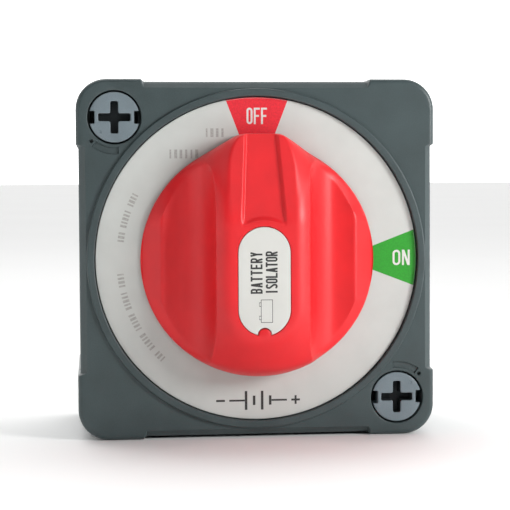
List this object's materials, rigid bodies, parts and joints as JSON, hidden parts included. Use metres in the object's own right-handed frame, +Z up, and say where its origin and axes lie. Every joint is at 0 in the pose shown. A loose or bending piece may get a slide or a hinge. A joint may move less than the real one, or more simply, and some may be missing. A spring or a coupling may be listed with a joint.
{
  "type": "battery switch",
  "caption": "Square surface-mounted battery switch with a rotary knob, snap-out cable entry plates and a front held by quarter-turn fasteners.",
  "frame": {"origin": "centre of the rear mounting plane, on the knob's axis", "axes": "+Y rearwards into the bulkhead, +Z up, +X to the right seen from the front; the face looks along -Y"},
  "size_m": [0.106, 0.0746, 0.106],
  "materials": {
    "housing_plastic": "fine moulded texture",
    "dial_plastic": "satin printed",
    "knob_plastic": "satin",
    "insert_plastic": "satin printed",
    "fastener_plastic": "fine moulded texture",
    "chamber_plastic": "moulded",
    "rotor_plastic": "moulded",
    "tinned_copper": "tin plated",
    "bare_copper": "bare",
    "stainless_steel": "plain",
    "spring_steel": "plain",
    "seal_rubber": "matt"
  },
  "bodies": {
    "base": {"base_frame": "housing_plastic", "front_cover": "housing_plastic", "dial_plate": "dial_plastic", "shaft_seal": "seal_rubber", "contact_housing": "chamber_plastic", "housing_seal": "seal_rubber", "detent_spring_left": "spring_steel", "detent_spring_right": "spring_steel", "terminal_stud_left": "tinned_copper", "terminal_stud_right": "tinned_copper", "terminal_nut_left": "stainless_steel", "terminal_nut_right": "stainless_steel", "spring_washer_left": "stainless_steel", "spring_washer_right": "stainless_steel", "flat_washer_left": "stainless_steel", "flat_washer_right": "stainless_steel", "fastener_o_ring_top_left": "seal_rubber", "fastener_o_ring_bottom_right": "seal_rubber", "housing_screw_top": "stainless_steel", "housing_screw_bottom": "stainless_steel", "housing_screw_left": "stainless_steel", "housing_screw_right": "stainless_steel"},
    "knob": {"knob": "knob_plastic", "knob_screw": "stainless_steel", "knob_washer": "stainless_steel", "rotor": "rotor_plastic", "contact_bridge": "bare_copper", "contact_spring": "spring_steel"},
    "insert": {"knob_insert": "insert_plastic"},
    "fastener_top_left": {"quarter_turn_fastener_top_left": "fastener_plastic"},
    "fastener_bottom_right": {"quarter_turn_fastener_bottom_right": "fastener_plastic"},
    "plate_top": {"side_plate_top": "housing_plastic"},
    "plate_bottom": {"side_plate_bottom": "housing_plastic"},
    "plate_left": {"side_plate_left": "housing_plastic"},
    "plate_right": {"side_plate_right": "housing_plastic"}
  },
  "joints": [
    {"name": "knob_turn", "type": "hinge", "parent": "base", "child": "knob", "pos_m": [0, 0, 0], "axis": [0, 1, 0], "range_deg": [0, 90], "deforming": ["detent_spring_left", "detent_spring_right"]},
    {"name": "insert_pull", "type": "slide", "parent": "knob", "child": "insert", "axis": [0, -1, 0], "range_m": [0, 0.01]},
    {"name": "fastener_turn_top_left", "type": "hinge", "parent": "base", "child": "fastener_top_left", "pos_m": [-0.04174, 0, 0.04174], "axis": [0, -1, 0], "range_deg": [0, 90]},
    {"name": "fastener_turn_bottom_right", "type": "hinge", "parent": "base", "child": "fastener_bottom_right", "pos_m": [0.04174, 0, -0.04174], "axis": [0, -1, 0], "range_deg": [0, 90]},
    {"name": "plate_slide_top", "type": "slide", "parent": "base", "child": "plate_top", "axis": [0, 1, 0], "range_m": [0, 0.038]},
    {"name": "plate_slide_bottom", "type": "slide", "parent": "base", "child": "plate_bottom", "axis": [0, 1, 0], "range_m": [0, 0.038]},
    {"name": "plate_slide_left", "type": "slide", "parent": "base", "child": "plate_left", "axis": [0, 1, 0], "range_m": [0, 0.038]},
    {"name": "plate_slide_right", "type": "slide", "parent": "base", "child": "plate_right", "axis": [0, 1, 0], "range_m": [0, 0.038]}
  ]
}
